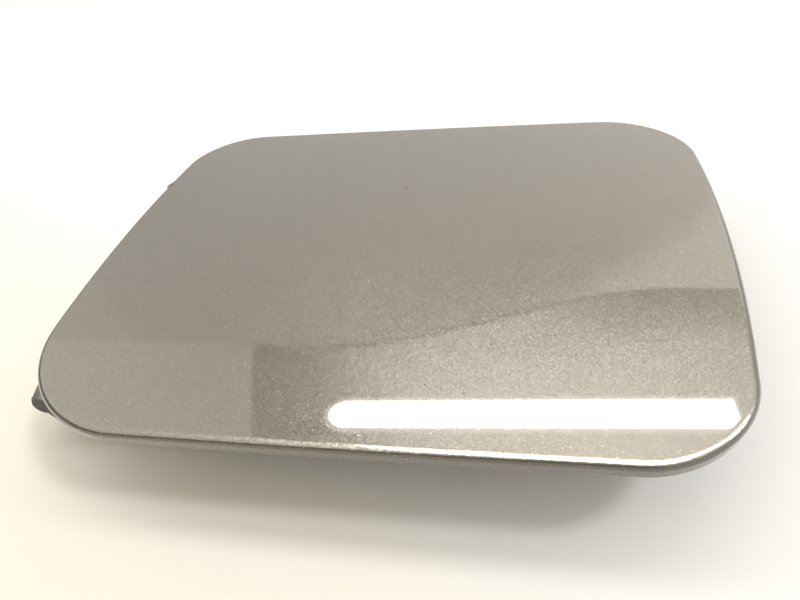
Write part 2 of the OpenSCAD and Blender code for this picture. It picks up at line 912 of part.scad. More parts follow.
module cap_holder() {
    plate_z = pan_z - holder_plate_t;
    color(black_plastic)
        difference() {
            union() {
                translate([0, 0, plate_z])
                    linear_extrude(holder_plate_t)
                        polygon(round_rect(
                            holder_at - holder_plate_w / 2, holder_at + holder_plate_w / 2,
                            holder_plate_y0, holder_plate_y1, 5
                        ));
                // Cradle wall with its inward lip
                translate([holder_at, holder_y, plate_z - holder_h])
                    rotate([0, 0, 180])
                        rotate_extrude(angle = 180)
                            polygon([
                                [holder_r - holder_lip, 0],
                                [holder_r + holder_t, 0],
                                [holder_r + holder_t, holder_h + 1],
                                [holder_r, holder_h + 1],
                                [holder_r, holder_t],
                                [holder_r - holder_lip, holder_t]
                            ]);
            }
            for (p = rivet_at)
                translate([p[0], p[1], plate_z - 1])
                    cylinder(r = rivet_r + fit, h = holder_plate_t + 2);
        }
}

module cap_holder_rivets() {
    plate_z = pan_z - holder_plate_t;
    color(black_plastic)
        for (p = rivet_at)
            translate([p[0], p[1], plate_z])
                rotate_extrude()
                    polygon([
                        [0, -rivet_head_h],
                        [rivet_head_r - 1.2, -rivet_head_h],
                        [rivet_head_r, -rivet_head_h / 2],
                        [rivet_head_r, 0],
                        [rivet_r, 0],
                        [rivet_r, holder_plate_t + pan_t],
                        [rivet_r + rivet_spread, holder_plate_t + pan_t],
                        [rivet_r - 0.4, holder_plate_t + pan_t + rivet_tip],
                        [0, holder_plate_t + pan_t + rivet_tip]
                    ]);
}

outer_skin();
inner_panel();
flutter_pads();
weld_nuts();
hinge_arm();
arm_screws();
bush_near();
bush_far();
hinge_bracket();
bolt_sleeves();
hinge_pin();
pin_clip();
torsion_spring();
spring_sleeve();
open_buffer();
latch_striker();
striker_screws();
striker_nuts();
bump_stops();
cap_holder();
cap_holder_rivets();
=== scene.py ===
import json
import math

import bpy
import numpy as np
from bpy.props import FloatProperty, FloatVectorProperty, IntProperty, PointerProperty
from mathutils import Matrix, Vector


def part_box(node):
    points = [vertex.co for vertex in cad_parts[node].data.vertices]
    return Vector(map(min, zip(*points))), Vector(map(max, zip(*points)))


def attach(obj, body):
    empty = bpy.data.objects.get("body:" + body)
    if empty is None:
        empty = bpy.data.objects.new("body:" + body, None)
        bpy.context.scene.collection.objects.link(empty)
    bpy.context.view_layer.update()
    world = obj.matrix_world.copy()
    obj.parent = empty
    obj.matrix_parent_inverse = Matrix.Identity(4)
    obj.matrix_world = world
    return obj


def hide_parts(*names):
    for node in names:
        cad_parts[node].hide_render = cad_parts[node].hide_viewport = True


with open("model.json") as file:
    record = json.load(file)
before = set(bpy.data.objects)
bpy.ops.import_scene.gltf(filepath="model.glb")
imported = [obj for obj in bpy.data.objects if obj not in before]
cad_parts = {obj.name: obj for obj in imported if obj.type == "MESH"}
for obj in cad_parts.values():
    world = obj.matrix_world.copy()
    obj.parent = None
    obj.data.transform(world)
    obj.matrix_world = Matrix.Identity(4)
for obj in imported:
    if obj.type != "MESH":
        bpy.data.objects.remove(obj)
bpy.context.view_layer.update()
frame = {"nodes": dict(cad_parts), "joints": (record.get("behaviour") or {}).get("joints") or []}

bl_info = {
    "name": "Car Fuel Door",
    "version": (1, 0, 0),
    "blender": (4, 5, 0),
    "location": "View3D > Sidebar > Fuel Door",
    "description": "Skin, spring, screws, finishes and studio for a car fuel door",
    "category": "Add Mesh",
}

MM = 0.001


def size(name, description, mm):
    """A length whose default is given in millimetres."""
    return FloatProperty(
        name=name, description=description, default=mm * MM, unit="LENGTH", subtype="DISTANCE", precision=5
    )


def sizes(name, description, mm):
    """Two or four lengths, such as the ends of a soft step or the corners of a rectangle."""
    return FloatVectorProperty(
        name=name, description=description, default=[v * MM for v in mm], size=len(mm), unit="LENGTH"
    )


def point(name, description, mm):
    """A place whose default is given in millimetres."""
    return FloatVectorProperty(
        name=name, description=description, default=[v * MM for v in mm], size=3, subtype="TRANSLATION"
    )


def direction(name, description, way):
    """A direction of any length."""
    return FloatVectorProperty(name=name, description=description, default=way, size=3, subtype="DIRECTION")


def angle(name, description, degrees):
    """An angle whose default is given in degrees."""
    return FloatProperty(name=name, description=description, default=math.radians(degrees), subtype="ANGLE")


def colour(name, description, rgb):
    """A colour."""
    return FloatVectorProperty(
        name=name, description=description, default=rgb, size=3, subtype="COLOR", min=0, max=1
    )


def share(name, description, default):
    """A number from 0 to 1."""
    return FloatProperty(
        name=name, description=description, default=default, min=0, max=1, subtype="FACTOR"
    )


def amount(name, description, default):
    """A number from 0 up."""
    return FloatProperty(name=name, description=description, default=default, min=0)


def count(name, description, default, least):
    """A whole number from the least one up."""
    return IntProperty(name=name, description=description, default=default, min=least)


class SkinSettings(bpy.types.PropertyGroup):
    """Sizes of the painted skin"""

    length: size("Length", "Length of the door's lower side", 190)
    height: size("Height", "Height of the door, up the car, a hair inside the sheet's own", 158.49)
    lean: size("Lean", "How far the upper side is set towards the latch", 2)
    upper_gain: size("Upper Gain", "How much longer the upper side is than the lower", 1.6)
    top_fall: size("Top Fall", "How much the upper side falls towards the latch", 2.2)
    bows: sizes("Bows", "Outward bow of the lower, latch, upper and hinge side", (0.8, 6.1, 1, 4.3))
    rounds: sizes("Rounds", "Length of each corner, from the lower hinge corner on", (36.5, 24, 29, 24.5))
    crown: size("Crown Radius", "Radius of the face up the car", 1700)
    sheet: size("Sheet", "Thickness of the sheet", 0.9)
    roll: size("Roll Radius", "Radius of the rolled edge", 1.9)
    fold: size("Fold Depth", "Depth of the folded edge", 5)
    tuck: size("Tuck", "How far the flange leans in below the roll", 0.4)
    hem_width: size("Hem Width", "Width of the hem under the pan's rim", 6)
    hem_round: size("Hem Round", "Radius of the hem's fold", 0.7)
    nib_y: size("Nib Place", "How far up the hinge side the small nib sits", 39.5)
    nib_out: size("Nib Height", "How far the nib stands out", 1.8)
    nib_width: size("Nib Width", "Width of the nib along the side", 6)
    nib_drop: size("Nib Drop", "How far down the edge the nib reaches", 3.04)
    face_rings: count("Face Rings", "Rings of faces over the door", 24, 4)
    round_steps: count("Round Steps", "Steps round the roll", 12, 3)
    flange_steps: count("Flange Steps", "Steps down the flange", 7, 1)


class SpringSettings(bpy.types.PropertyGroup):
    """Sizes of the torsion spring"""

    wire: size("Wire Radius", "Radius of the wire", 0.75)
    gap: size("Turn Gap", "Gap between two turns", 0.25)
    turns: count("Turns", "Whole turns of the coil", 5, 1)
    steps: count("Steps", "Points along the coil", 240, 24)
    start: size("Coil Start", "Where the coil starts along the pin", -8)
    foot: size("Foot", "Height of the foot of the standing leg", 4.4)


class ScrewSettings(bpy.types.PropertyGroup):
    """Sizes of the flanged hexagon screws"""

    m5: sizes("M5", "Arm's screws: flats, flange radius, head height, shank radius", (8, 5, 4, 2.4))
    m4: sizes("M4", "Striker's screws: the same four sizes", (7, 4.2, 3.4, 1.9))
    bevel: size("Bevel", "Bevel of the shank's tip and slope at the flange's edge", 0.5)
    rim: size("Rim", "Height of the flange's upright rim", 0.3)


class FinishSettings(bpy.types.PropertyGroup):
    """Colours and finishes"""

    paint: colour("Paint", "Metallic base coat", (0.122, 0.1125, 0.094))
    paint_roughness: share("Paint Roughness", "Roughness of the metallic base", 0.30)
    flake: size("Flake Size", "Size of one metal flake", 0.27)
    flake_tilt: share("Flake Tilt", "How far the flakes lie out of the surface", 0.175)
    # Painted glint: the colour that a few flakes are painted, lighter as if they caught a lamp
    painted_glint: colour("Painted Glint", "Flakes that catch the light", (0.42, 0.40, 0.36))
    speck: point("Speck", "Place of the dark speck in the paint", (85.88, 30.31, 36.73))
    speck_radius: size("Speck Radius", "Radius of the dark speck", 0.55)
    speck_colour: colour("Speck Colour", "Colour of the dark speck", (0.004, 0.004, 0.004))
    inner_paint: colour("Inner Paint", "Thin paint inside the door", (0.215, 0.203, 0.180))
    primer: colour("Primer", "Primer that shows through the thin paint", (0.155, 0.150, 0.140))
    plastic: colour("Black Plastic", "Glass-filled black plastic", (0.022, 0.022, 0.023))
    dust: colour("Dust", "Road dust on the plastic", (0.205, 0.190, 0.150))
    rubber: colour("Rubber", "Black rubber", (0.016, 0.016, 0.016))
    bloom: colour("Bloom", "Pale bloom on the rubber", (0.070, 0.068, 0.064))
    foam: colour("Foam", "Grey foam", (0.055, 0.055, 0.058))
    zinc: colour("Zinc", "Zinc plating", (0.60, 0.61, 0.62))
    zinc_haze: colour("Zinc Haze", "Yellowish patches of the zinc", (0.52, 0.50, 0.43))
    black_zinc: colour("Black Zinc", "Black zinc plating", (0.070, 0.070, 0.074))
    black_haze: colour("Black Zinc Haze", "Brownish patches of the black zinc", (0.115, 0.110, 0.095))
    steel: colour("Steel", "Ground steel", (0.52, 0.53, 0.54))
    spring_steel: colour("Spring Steel", "Oiled spring steel", (0.20, 0.195, 0.19))
    acetal: colour("Acetal", "Natural acetal", (0.66, 0.63, 0.55))
    grease: colour("Grease", "Old grease on the acetal", (0.26, 0.23, 0.18))
    edge_round: size("Edge Round", "Radius that softens the moulded and pressed edges", 0.35)


class StudioSettings(bpy.types.PropertyGroup):
    """Camera, lamps and table"""

    camera: point("Camera", "Place of the camera from the middle of the door's face", (50.13, -163.0, 118.36))
    aim: point("Aim", "Point of the face plane at the middle of the picture", (9.92, -29.87, 0))
    roll: angle("Roll", "Turn of the camera about its line of sight", -10.5)
    lens: FloatProperty(name="Lens", description="Focal length", default=28.8, unit="CAMERA")
    key: amount("Key Strength", "Strength of the key lamp", 0.78)
    key_way: direction("Key Direction", "Direction from the door to the key lamp", (0.72, -0.085, 1.0))
    key_angle: angle("Key Size", "Apparent size of the key lamp", 9)
    fill: share("Fill Share", "Strength of the fill lamp as a share of the key lamp's", 0.55)
    fill_way: direction("Fill Direction", "Direction from the door to the fill lamp", (-0.8, -0.9, 1))
    fill_angle: angle("Fill Size", "Apparent size of the fill lamp", 50)
    row: amount("Lamp Row", "Power of the long lamp over the table", 10)
    row_place: point("Row Place", "Middle of the long lamp", (100, 140, 1000))
    row_size: sizes("Row Size", "Length and width of the long lamp", (4800, 200))
    ambient: share("Ambient", "Strength of the light from all round", 0.53)
    air: colour("Air", "Colour of the light from all round", (1, 0.90, 0.72))
    table_half: size("Table Half", "Half the table's width", 4000)
    # The table's front and back colours and the step between them are painted light: warmer light in front,
    # whiter and brighter light behind
    table_front: colour("Table Front", "Table near the camera", (0.90, 0.88, 0.80))
    table_back: colour("Table Back", "Table far from the camera", (0.92, 0.935, 0.97))
    painted_light_slant: share("Table Slant", "How much the step from front to back leans", 0.6)
    painted_light_step: sizes("Table Step", "Soft step from the front to the back colour", (-80, 60))
    table_fade: sizes("Table Fade", "Where the table fades to plain white", (500, 1400))


class RoomSettings(bpy.types.PropertyGroup):
    """The room that only glossy surfaces see"""

    lamp: colour("Lamp Colour", "Colour of the mirrored lamps", (1, 0.98, 0.94))
    height: size("Ceiling Height", "Height of the ceiling over the table", 1000)
    plan: sizes("Plan", "Least and greatest X and Y of the room", (-2200, -2600, 1400, 3400))
    walls: share("Walls", "Strength of the walls behind the camera and past the hinge", 0.2)
    hang: size("Hang", "How far the halo and the panels hang below the ceiling", 6)
    tube: amount("Tube Strength", "Strength of the tube lamp", 20)
    tube_hang: size("Tube Hang", "How far the tube hangs below the ceiling", 10)
    tube_run: sizes("Tube Run", "X and Y of the tube's left and right end", (-262, 551, 490, 605))
    tube_radius: size("Tube Radius", "Half the tube's width", 40)
    halo: share("Halo Share", "Strength of the halo as a share of the tube's", 0.25)
    halo_run: sizes("Halo Run", "X and Y of the halo's left and right end", (-262, 551, 497, 606))
    halo_radius: size("Halo Radius", "Half the halo's width", 51)
    overhead: amount("Overhead", "Strength of the lit panels above the camera", 11)
    panel: sizes("Panel", "Least and greatest X and Y of the main panel", (-190, -1200, 950, 120))
    wing: sizes("Wing", "Least and greatest X and Y of the panel beside it", (950, -300, 2600, 360))


class CeilingSettings(bpy.types.PropertyGroup):
    """The ceiling that the face mirrors: a far part and a near part that meet at a bent line"""

    tint: colour("Tint", "Colour of the ceiling", (1.0, 0.96, 0.885))
    bend: sizes("Bend", "Between which X the line runs back", (-370, 440))
    bend_y: size("Bend Place", "Y of the line's left end", 782)
    bend_back: size("Bend Run", "How much farther back its right end lies", 255)
    bend_soft: size("Bend Softness", "Half the width of the step at the line", 6)
    seam: amount("Seam", "Loss along the line", 3.0)
    seam_half: size("Seam Width", "Half the width of the dark seam along the line", 15)
    far: amount("Far", "Tone of the far part at its left", 1.3)
    far_rise: amount("Far Rise", "Gain towards the right", 0.60)
    far_fall: amount("Far Fall", "Loss towards the back", 0.28)
    wedge: amount("Wedge", "Gain in the pale wedge", 0.85)
    valley: amount("Valley", "Loss in the stretch beside the wedge", 0.70)
    rim: amount("Rim", "Gain at the far left", 0.2)
    left: amount("Left", "Tone of the near part's left zone", 1.95)
    left_rise: amount("Left Rise", "Gain towards the camera", 0.35)
    right: amount("Right", "Tone of the near part's right zone", 2.1)
    right_least: amount("Right Least", "Its tone where it is darkest", 0.3)
    glow: amount("Glow", "Gain deep below the line", 0.6)
    behind: share("Behind", "Share that is lost behind the camera", 0.85)


class Value:
    """A node's socket that takes part in Python expressions: each operator adds a Math node."""

    def __init__(self, graph, socket):
        self.graph = graph
        self.socket = socket

    def math(self, operation, *others):
        inputs = dict(enumerate((self, *others)))
        return self.graph.add("ShaderNodeMath", {"operation": operation}, inputs)

    def __add__(self, other):
        return self.math("ADD", other)

    def __sub__(self, other):
        return self.math("SUBTRACT", other)

    def __rsub__(self, other):
        return self.graph.add("ShaderNodeMath", {"operation": "SUBTRACT"}, {0: other, 1: self})

    def __mul__(self, other):
        return self.math("MULTIPLY", other)

    def __truediv__(self, other):
        return self.math("DIVIDE", other)

    def __pow__(self, other):
        return self.math("POWER", other)

    __radd__ = __add__
    __rmul__ = __mul__

    def between(self, low, high, smooth=True):
        """0 below low, 1 above high, and a soft or an even step between them."""
        kind = "SMOOTHSTEP" if smooth else "LINEAR"
        inputs = {"Value": self, "From Min": low, "From Max": high}
        return self.graph.add("ShaderNodeMapRange", {"interpolation_type": kind}, inputs)

    def parts(self):
        """The three numbers of a vector or colour."""
        node = self.graph.add("ShaderNodeSeparateXYZ", None, {0: self}).socket.node
        return [Value(self.graph, out) for out in node.outputs]


def rgba(tone):
    """A colour as a colour socket takes it: a value stays, and three numbers get an alpha of 1."""
    return tone if isinstance(tone, Value) else (*tone, 1)


def shade(tone, gain):
    """A colour made darker or lighter."""
    return [min(1, c * gain) for c in tone]


class Graph:
    """A node tree that is filled from Python."""

    def __init__(self, tree):
        self.tree = tree
        tree.nodes.clear()

    def add(self, kind, settings=None, inputs=None, output=0):
        """One node of that type: its settings first, then the values or links of its sockets."""
        node = self.tree.nodes.new(kind)
        for key, value in (settings or {}).items():
            setattr(node, key, value)
        for key, value in (inputs or {}).items():
            if isinstance(value, Value):
                self.tree.links.new(value.socket, node.inputs[key])
            else:
                node.inputs[key].default_value = value
        return Value(self, node.outputs[output]) if len(node.outputs) else node

    def vector(self, operation, first, second, output=0):
        return self.add("ShaderNodeVectorMath", {"operation": operation}, {0: first, 1: second}, output)

    def scaled(self, first, factor):
        return self.add("ShaderNodeVectorMath", {"operation": "SCALE"}, {0: first, "Scale": factor})

    def mix(self, factor, first, second):
        """A colour between two colours."""
        inputs = {0: factor, 6: rgba(first), 7: rgba(second)}
        return self.add("ShaderNodeMix", {"data_type": "RGBA"}, inputs, 2)

    def glow(self, tone, strength):
        """Light of one colour."""
        return self.add("ShaderNodeEmission", None, {"Color": rgba(tone), "Strength": strength})

    def noise(self, place, grain, detail=3.0, roughness=0.5):
        """Noise from 0 to 1 whose blobs are about grain metres across."""
        inputs = {"Vector": place, "Scale": 1 / grain, "Detail": detail, "Roughness": roughness}
        return self.add("ShaderNodeTexNoise", None, inputs, "Fac")

    def cells(self, place, grain, output="Color"):
        """Cells about grain metres across, each with its own colour."""
        return self.add("ShaderNodeTexVoronoi", None, {"Vector": place, "Scale": 1 / grain}, output)

    def bump(self, height, depth, normal=None):
        """A normal that reads as relief of that depth."""
        inputs = {"Height": height, "Distance": depth, "Strength": 1.0}
        if normal is not None:
            inputs["Normal"] = normal
        return self.add("ShaderNodeBump", None, inputs)


def new_material(name):
    """A material with an empty tree, its graph and its Object coordinates."""
    material = bpy.data.materials.new(name)
    material.use_nodes = True
    graph = Graph(material.node_tree)
    return material, graph, graph.add("ShaderNodeTexCoord", None, None, "Object")


def show(graph, shader):
    """Ends a material's tree in that shader."""
    graph.add("ShaderNodeOutputMaterial", None, {"Surface": shader})


def finish_surface(graph, inputs):
    """Ends a material's tree in one Principled shader."""
    show(graph, graph.add("ShaderNodeBsdfPrincipled", None, inputs))


def soft_edges(graph, radius):
    """A normal that rounds the edges of a moulded or pressed piece."""
    return graph.add("ShaderNodeBevel", {"samples": 4}, {"Radius": radius})


def upward(graph):
    """How far a face looks up, from 0 for a level underside to 1 for a level top."""
    normal = graph.add("ShaderNodeNewGeometry", None, None, "Normal")
    return normal.parts()[2] * 0.5 + 0.5


def paint_material(finish):
    """Warm grey metallic base coat with flakes, painted glints on a few of them and one dark speck, under a
    smooth clear coat.
    """
    material, graph, place = new_material("warm_grey_metallic")
    flakes = graph.cells(place, finish.flake)
    red, green, blue = flakes.parts()
    cloud = graph.noise(place, 40 * MM)
    base = graph.mix(red * 0.8 + cloud * 0.2, shade(finish.paint, 0.84), shade(finish.paint, 1.18))
    # Painted glint: a few flakes get a lighter base colour and a slightly smoother finish, as if they caught
    # a lamp
    painted_glint = (green * 0.7 + blue * 0.3).between(0.93, 0.96)
    base = graph.mix(painted_glint * 0.5, base, finish.painted_glint)
    from_speck = graph.vector("DISTANCE", place, finish.speck, "Value")
    speck = 1 - from_speck.between(finish.speck_radius * 0.5, finish.speck_radius)
    base = graph.mix(speck, base, finish.speck_colour)
    normal = graph.add("ShaderNodeNewGeometry", None, None, "Normal")
    tilt = graph.scaled(graph.vector("SUBTRACT", flakes, (0.5, 0.5, 0.5)), finish.flake_tilt)
    leaning = graph.vector("ADD", normal, tilt)
    tilted = graph.add("ShaderNodeVectorMath", {"operation": "NORMALIZE"}, {0: leaning})
    finish_surface(graph, {
        "Base Color": base,
        "Metallic": 0.88,
        "Roughness": finish.paint_roughness - painted_glint * 0.06,
        "Normal": tilted,
        "Coat Weight": 1 - speck * 0.85,
        "Coat Roughness": 0.025,
        "Coat IOR": 1.5,
    })
    return material


def inner_paint_material(finish):
    """Thin dry paint over the primer inside the door, with orange peel and dust."""
    material, graph, place = new_material("inner_paint")
    flakes = graph.cells(place, finish.flake * 1.6).parts()[0]
    patches = graph.noise(place, 30 * MM, 4.0)
    thin = patches.between(0.50, 0.68) * 0.55
    base = graph.mix(flakes, shade(finish.inner_paint, 0.82), shade(finish.inner_paint, 1.18))
    base = graph.mix(thin, base, finish.primer)
    dust = graph.noise(place, 4 * MM, 5.0).between(0.45, 0.75) * upward(graph) * 0.5
    base = graph.mix(dust, base, finish.dust)
    peel = graph.noise(place, 2.2 * MM, 2.0)
    finish_surface(graph, {
        "Base Color": base,
        "Metallic": 0.35,
        "Roughness": patches * 0.25 + 0.38,
        "Normal": graph.bump(peel, 0.05 * MM, soft_edges(graph, finish.edge_round)),
        "Coat Weight": 0.35,
        "Coat Roughness": 0.25,
    })
    return material


def plastic_material(name, finish, dustiness):
    """Glass-filled black plastic: a fine moulded grain, scuffed high spots and dust on what looks up."""
    material, graph, place = new_material(name)
    grain = graph.noise(place, 0.35 * MM, 3.0, 0.6)
    cloud = graph.noise(place, 8 * MM, 5.0, 0.6)
    streak = graph.noise(graph.vector("MULTIPLY", place, (1.0, 0.55, 1.0)), 1.6 * MM, 4.0)
    base = graph.mix(cloud.between(0.40, 0.70) * 0.7, finish.plastic, shade(finish.plastic, 2.1))
    settled = upward(graph).between(0.55, 0.95)
    film = cloud.between(0.20, 0.80) * 0.45 + streak.between(0.30, 0.75) * 0.35 + 0.1
    dust = (settled * 0.85 + 0.15) * film * dustiness
    base = graph.mix(dust, base, finish.dust)
    finish_surface(graph, {
        "Base Color": base,
        "Roughness": grain * 0.14 + cloud * 0.12 + dust * 0.25 + 0.30,
        "Normal": graph.bump(grain, 0.04 * MM, soft_edges(graph, finish.edge_round)),
        "Specular IOR Level": 0.5,
    })
    return material


def rubber_material(finish):
    """Moulded rubber with a pale bloom and mould marks."""
    material, graph, place = new_material("moulded_rubber")
    bloom = graph.noise(place, 3.5 * MM, 5.0, 0.65)
    grain = graph.noise(place, 0.3 * MM, 2.0)
    finish_surface(graph, {
        "Base Color": graph.mix(bloom.between(0.42, 0.72) * 0.5, finish.rubber, finish.bloom),
        "Roughness": bloom * 0.2 + 0.60,
        "Normal": graph.bump(grain + bloom * 0.5, 0.05 * MM, soft_edges(graph, finish.edge_round)),
        "Specular IOR Level": 0.35,
    })
    return material


def foam_material(finish):
    """Open foam: small cells that read as pits, with painted shade in their low parts."""
    material, graph, place = new_material("open_foam")
    pits = graph.cells(place, 0.9 * MM, "Distance")
    cloud = graph.noise(place, 6 * MM)
    # Painted shade: the foam is darker where its relief is low, with some random tone from the cloud
    pit_shade_and_tone = pits.between(0.1, 0.6) * 0.7 + cloud * 0.3
    finish_surface(graph, {
        "Base Color": graph.mix(pit_shade_and_tone, shade(finish.foam, 1.7), finish.foam),
        "Roughness": cloud * 0.1 + 0.88,
        "Normal": graph.bump(1 - pits, 0.3 * MM),
        "Sheen Weight": 0.2,
    })
    return material


def plated_material(name, tone, haze, base_roughness, finish):
    """Plated steel: patchy passivation, fine tool marks and dull handled spots."""
    material, graph, place = new_material(name)
    patches = graph.noise(place, 4 * MM, 5.0, 0.6)
    marks = graph.noise(graph.vector("MULTIPLY", place, (1.0, 1.0, 0.12)), 0.25 * MM)
    base = graph.mix(patches.between(0.35, 0.70), tone, haze)
    base = graph.mix(patches.between(0.68, 0.80) * 0.5, base, shade(tone, 0.45))
    finish_surface(graph, {
        "Base Color": base,
        "Metallic": 1.0,
        "Roughness": marks * 0.12 + patches * 0.18 + base_roughness,
        "Normal": graph.bump(marks, 0.02 * MM, soft_edges(graph, finish.edge_round * 0.5)),
    })
    return material


def turned_material(name, tone, base_roughness):
    """Ground or drawn steel with fine rings across its length along Y, and thin oil."""
    material, graph, place = new_material(name)
    rings = graph.noise(graph.vector("MULTIPLY", place, (0.15, 1.0, 0.15)), 0.18 * MM)
    oil = graph.noise(place, 5 * MM, 4.0, 0.6)
    finish_surface(graph, {
        "Base Color": graph.mix(oil.between(0.45, 0.75), tone, shade(tone, 0.62)),
        "Metallic": 1.0,
        "Roughness": rings * 0.15 + oil * 0.12 + base_roughness,
        "Normal": graph.bump(rings, 0.01 * MM),
    })
    return material


def acetal_material(finish):
    """Natural acetal: milky, slightly worn and greasy."""
    material, graph, place = new_material("natural_acetal")
    grease = graph.noise(place, 3 * MM, 4.0, 0.6)
    fine = graph.noise(place, 0.4 * MM, 2.0)
    finish_surface(graph, {
        "Base Color": graph.mix(grease.between(0.50, 0.75) * 0.55, finish.acetal, finish.grease),
        "Roughness": fine * 0.10 + grease * 0.15 + 0.25,
        "Normal": graph.bump(fine, 0.02 * MM, soft_edges(graph, finish.edge_round * 0.5)),
        "Subsurface Weight": 0.12,
        "Subsurface Radius": (1.0 * MM, 0.9 * MM, 0.7 * MM),
    })
    return material


def linked(name, data):
    """An object of that data in the scene."""
    thing = bpy.data.objects.new(name, data)
    bpy.context.scene.collection.objects.link(thing)
    return thing


def mesh_object(name, points, faces, sharp_degrees=35):
    """A smooth-shaded mesh object at the origin, with its sharp folds marked."""
    mesh = bpy.data.meshes.new(name)
    mesh.from_pydata([tuple(p) for p in points], [], faces)
    mesh.shade_smooth()
    mesh.set_sharp_from_angle(angle=math.radians(sharp_degrees))
    return linked(name, mesh)


def apply_tree(piece, tree, inputs):
    """Makes the piece what its node tree gives: a plain mesh, with the modifier gone."""
    modifier = piece.modifiers.new(tree.name, "NODES")
    modifier.node_group = tree
    for item in tree.interface.items_tree:
        if item.item_type == "SOCKET" and item.in_out == "INPUT" and item.name in inputs:
            modifier[item.identifier] = inputs[item.name]
    depsgraph = bpy.context.evaluated_depsgraph_get()
    mesh = bpy.data.meshes.new_from_object(piece.evaluated_get(depsgraph), depsgraph=depsgraph)
    piece.modifiers.remove(modifier)
    old = piece.data
    piece.data = mesh
    bpy.data.meshes.remove(old)


def piece_tree(name, sockets):
    """A Geometry Nodes tree with named inputs: its graph and its inputs as values."""
    tree = bpy.data.node_groups.new(name, "GeometryNodeTree")
    graph = Graph(tree)
    tree.interface.new_socket("Geometry", in_out="INPUT", socket_type="NodeSocketGeometry")
    for label, kind in sockets.items():
        tree.interface.new_socket(label, in_out="INPUT", socket_type="NodeSocket" + kind)
    tree.interface.new_socket("Geometry", in_out="OUTPUT", socket_type="NodeSocketGeometry")
    entry = tree.nodes.new("NodeGroupInput")
    values = {label: Value(graph, entry.outputs[label]) for label in ("Geometry", *sockets)}
    return tree, graph, values


def close_tree(graph, geometry, material):
    """Ends a tree in Realize Instances and Set Material."""
    real = graph.add("GeometryNodeRealizeInstances", None, {"Geometry": geometry})
    done = graph.add("GeometryNodeSetMaterial", None, {"Geometry": real, "Material": material})
    graph.add("NodeGroupOutput", None, {"Geometry": done})


class Outline:
    """The door's outline: four bowed sides joined by four long rounds, as dense points in order."""

    CORNER_STEPS = 36
    # The last side is the hinge's, with points close enough for the nib
    SIDE_STEPS = (30, 30, 30, 130)
    # Reach of a curve's handle that makes a quarter circle of radius 1
    HANDLE = 0.5523

    def __init__(self, skin):
        half_l, half_h = skin.length / 2, skin.height / 2
        gain, fall = skin.upper_gain / 2, skin.top_fall / 2
        self.corners = np.array([
            (-half_l, -half_h),
            (half_l, -half_h),
            (half_l + skin.lean + gain, half_h - fall),
            (-half_l + skin.lean - gain, half_h + fall),
        ])
        self.rounds = skin.rounds
        self.bows = skin.bows
        self.points = np.vstack([self.corner(i) for i in range(4)])
        ahead = np.roll(self.points, -1, axis=0) - np.roll(self.points, 1, axis=0)
        ahead /= np.linalg.norm(ahead, axis=1)[:, None]
        self.inward = np.column_stack([-ahead[:, 1], ahead[:, 0]])

    def side(self, i, t):
        """Points and directions along side i, at shares t of its length."""
        start, end = self.corners[i % 4], self.corners[(i + 1) % 4]
        along = end - start
        out = np.array([along[1], -along[0]]) / np.linalg.norm(along)
        t = np.asarray(t)[:, None]
        bow = self.bows[i % 4]
        points = start + along * t + out * bow * 4 * t * (1 - t)
        ways = along + out * bow * 4 * (1 - 2 * t)
        return points, ways / np.linalg.norm(ways, axis=1)[:, None]

    def ends(self, i):
        """The shares of side i at which its rounds end."""
        length = np.linalg.norm(self.corners[(i + 1) % 4] - self.corners[i % 4])
        return self.rounds[i % 4] / length, 1 - self.rounds[(i + 1) % 4] / length

    def corner(self, i):
        """The round at corner i and the side after it."""
        (a,), (way_a,) = self.side(i - 1, [self.ends(i - 1)[1]])
        (d,), (way_d,) = self.side(i, [self.ends(i)[0]])
        reach = self.HANDLE * self.rounds[i]
        b, c = a + way_a * reach, d - way_d * reach
        t = (np.arange(self.CORNER_STEPS) / self.CORNER_STEPS)[:, None]
        turn = a * (1 - t) ** 3 + b * 3 * t * (1 - t) ** 2 + c * 3 * t * t * (1 - t) + d * t ** 3
        low, high = self.ends(i)
        steps = self.SIDE_STEPS[i]
        return np.vstack([turn, self.side(i, low + (high - low) * np.arange(steps) / steps)[0]])


def ring_faces(n, rings):
    """The faces of rings of n points each, between a single first point and a single last one."""
    after = [(i + 1) % n for i in range(n)]
    last = rings * n + 1
    faces = [(0, 1 + i, 1 + after[i]) for i in range(n)]
    for k in range(rings - 1):
        a, b = 1 + k * n, 1 + (k + 1) * n
        faces += [(a + i, b + i, b + after[i], a + after[i]) for i in range(n)]
    return faces + [(last, last - n + after[i], last - n + i) for i in range(n)]


def face_middle(skin):
    """The middle of the door's face, from the CAD skin's latch side and top."""
    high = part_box("outer_skin")[1]
    return Vector((high.x - float(Outline(skin).points[:, 0].max()), 0, high.z))


def skin_section(skin):
    """The edge's section from the top of the roll, round the hem and back, as rows of inset and drop."""
    turn = np.linspace(0, math.pi / 2, skin.round_steps + 1)
    inner = skin.roll - skin.sheet
    roll = np.column_stack([skin.roll * (1 - np.sin(turn)), skin.roll * (1 - np.cos(turn))])
    fall = np.linspace(skin.roll, skin.fold - skin.hem_round, skin.flange_steps + 1)[1:]
    flange = np.column_stack([skin.tuck * (fall - skin.roll) / (fall[-1] - skin.roll), fall])
    hem = np.column_stack([
        skin.tuck + skin.hem_round * (1 - np.cos(turn)),
        skin.fold - skin.hem_round * (1 - np.sin(turn)),
    ])
    under = np.array([
        (skin.hem_width, skin.fold),
        (skin.hem_width, skin.fold - skin.sheet),
        (skin.tuck + skin.sheet, skin.fold - skin.sheet),
    ])
    back = np.column_stack([
        skin.sheet + inner * (1 - np.sin(turn)), skin.sheet + inner * (1 - np.cos(turn))
    ])[::-1]
    return np.vstack([roll, flange, hem[1:], under, back])


def nib_shape(skin, outline):
    """How much of the nib each point of the outline has: 1 at its middle, and 0 away from it."""
    near = np.clip(1 - np.abs(outline.points[:, 1] - skin.nib_y) / skin.nib_width * 2, 0, 1)
    return near * near * (3 - 2 * near) * (outline.points[:, 0] < 0)


